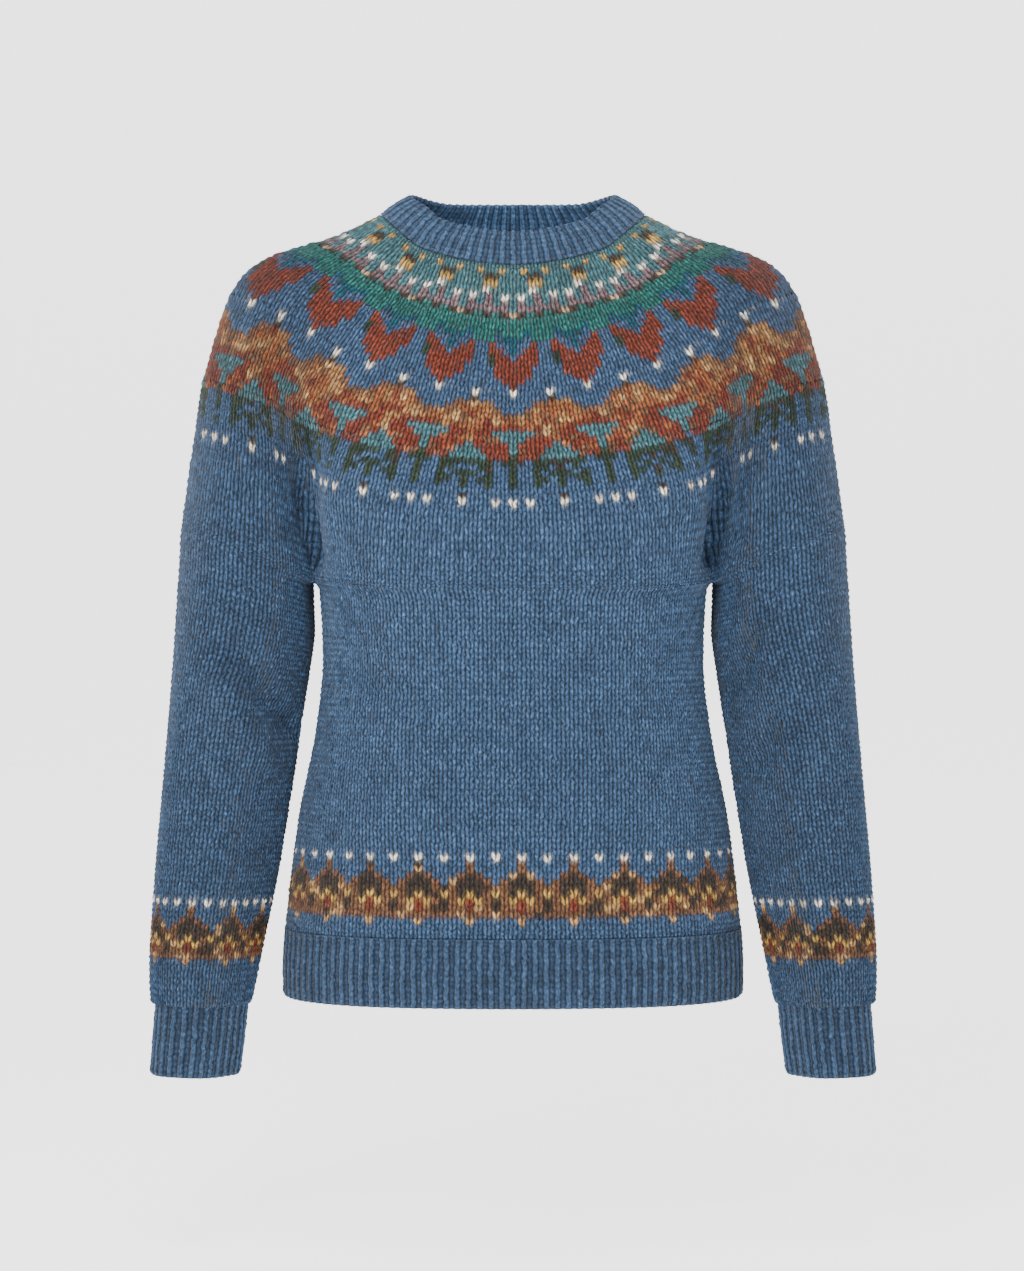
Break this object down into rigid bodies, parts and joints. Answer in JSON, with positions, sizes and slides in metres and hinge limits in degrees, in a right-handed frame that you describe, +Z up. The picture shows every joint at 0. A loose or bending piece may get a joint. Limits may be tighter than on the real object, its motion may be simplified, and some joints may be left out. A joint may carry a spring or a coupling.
{
  "type": "icelandic sweater",
  "caption": "Hollow round-yoke knitted jumper, filled out as worn, with long sleeves, ribbed hem, cuffs and neckband and a ringed pattern over the shoulders.",
  "frame": {"origin": "midway between the wearer's shoulders, beside the neck, where the yoke rests on them", "axes": "+Z up, -Y out of the garment's front, +X towards the wearer's left sleeve, which is on the right as the front is seen"},
  "size_m": [0.5604, 0.2402, 0.6862],
  "materials": {
    "blue_wool": "heathered denim-blue wool, plain knit and rib",
    "yoke_wool": "stranded wool knit in blue, rust, orange, teal, green, brown and cream"
  },
  "bodies": {
    "root": {"body": "blue_wool", "hem_rib": "blue_wool", "yoke": "yoke_wool", "neckband": "blue_wool", "sleeve_left": "blue_wool", "sleeve_right": "blue_wool", "cuff_left": "blue_wool", "cuff_right": "blue_wool"}
  },
  "joints": []
}
